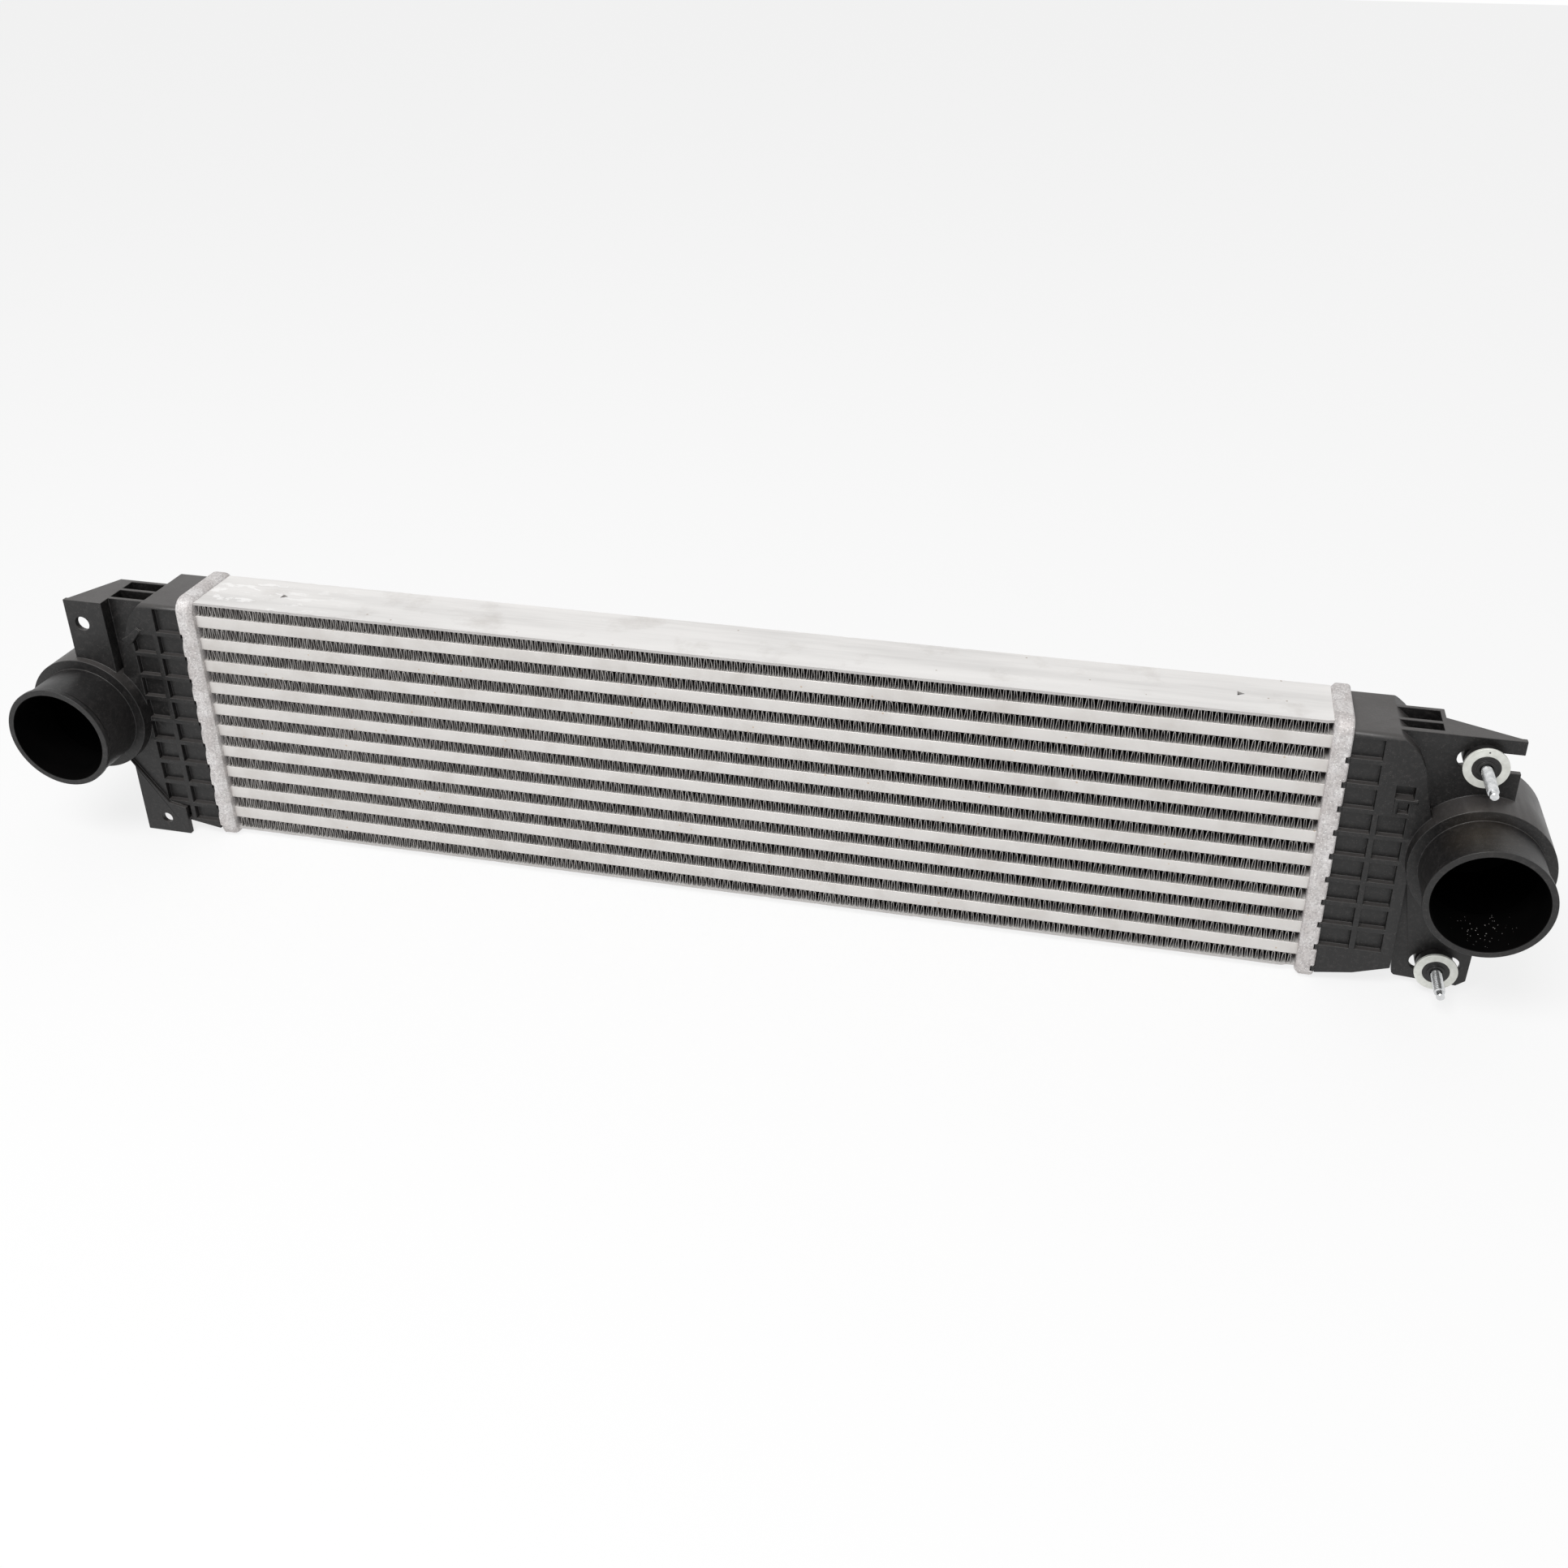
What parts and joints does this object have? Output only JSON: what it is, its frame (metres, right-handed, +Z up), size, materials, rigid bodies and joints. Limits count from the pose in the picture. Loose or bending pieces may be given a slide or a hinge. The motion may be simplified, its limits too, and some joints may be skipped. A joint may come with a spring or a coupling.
{
  "type": "intercooler",
  "caption": "Air to air intercooler with a finned aluminium tube core, black plastic end tanks with round hose ports, and rubber mounted studs.",
  "frame": {"origin": "centre of the bottom of the whole part's box", "axes": "+X along the core towards the tank with the studs, +Y away from the ports, +Z up"},
  "size_m": [0.8488, 0.0816, 0.1586],
  "materials": {
    "tube_aluminium": "brazed satin",
    "fin_aluminium": "brazed satin",
    "plate_aluminium": "brazed satin",
    "header_aluminium": "brazed satin",
    "tank_plastic": "moulded satin",
    "rubber": "matt",
    "zinc_steel": "zinc plated"
  },
  "bodies": {
    "root": {"tube_01": "tube_aluminium", "tube_02": "tube_aluminium", "tube_03": "tube_aluminium", "tube_04": "tube_aluminium", "tube_05": "tube_aluminium", "tube_06": "tube_aluminium", "tube_07": "tube_aluminium", "tube_08": "tube_aluminium", "tube_09": "tube_aluminium", "tube_10": "tube_aluminium", "turbulator_01": "fin_aluminium", "turbulator_02": "fin_aluminium", "turbulator_03": "fin_aluminium", "turbulator_04": "fin_aluminium", "turbulator_05": "fin_aluminium", "turbulator_06": "fin_aluminium", "turbulator_07": "fin_aluminium", "turbulator_08": "fin_aluminium", "turbulator_09": "fin_aluminium", "turbulator_10": "fin_aluminium", "fin_row_01": "fin_aluminium", "fin_row_02": "fin_aluminium", "fin_row_03": "fin_aluminium", "fin_row_04": "fin_aluminium", "fin_row_05": "fin_aluminium", "fin_row_06": "fin_aluminium", "fin_row_07": "fin_aluminium", "fin_row_08": "fin_aluminium", "fin_row_09": "fin_aluminium", "fin_row_10": "fin_aluminium", "fin_row_11": "fin_aluminium", "top_side_plate": "plate_aluminium", "bottom_side_plate": "plate_aluminium", "left_header": "header_aluminium", "right_header": "header_aluminium", "left_gasket": "rubber", "right_gasket": "rubber", "left_tank": "tank_plastic", "right_tank": "tank_plastic", "mount_grommets": "rubber", "mount_washers": "zinc_steel", "mounting_studs": "zinc_steel"}
  },
  "joints": []
}
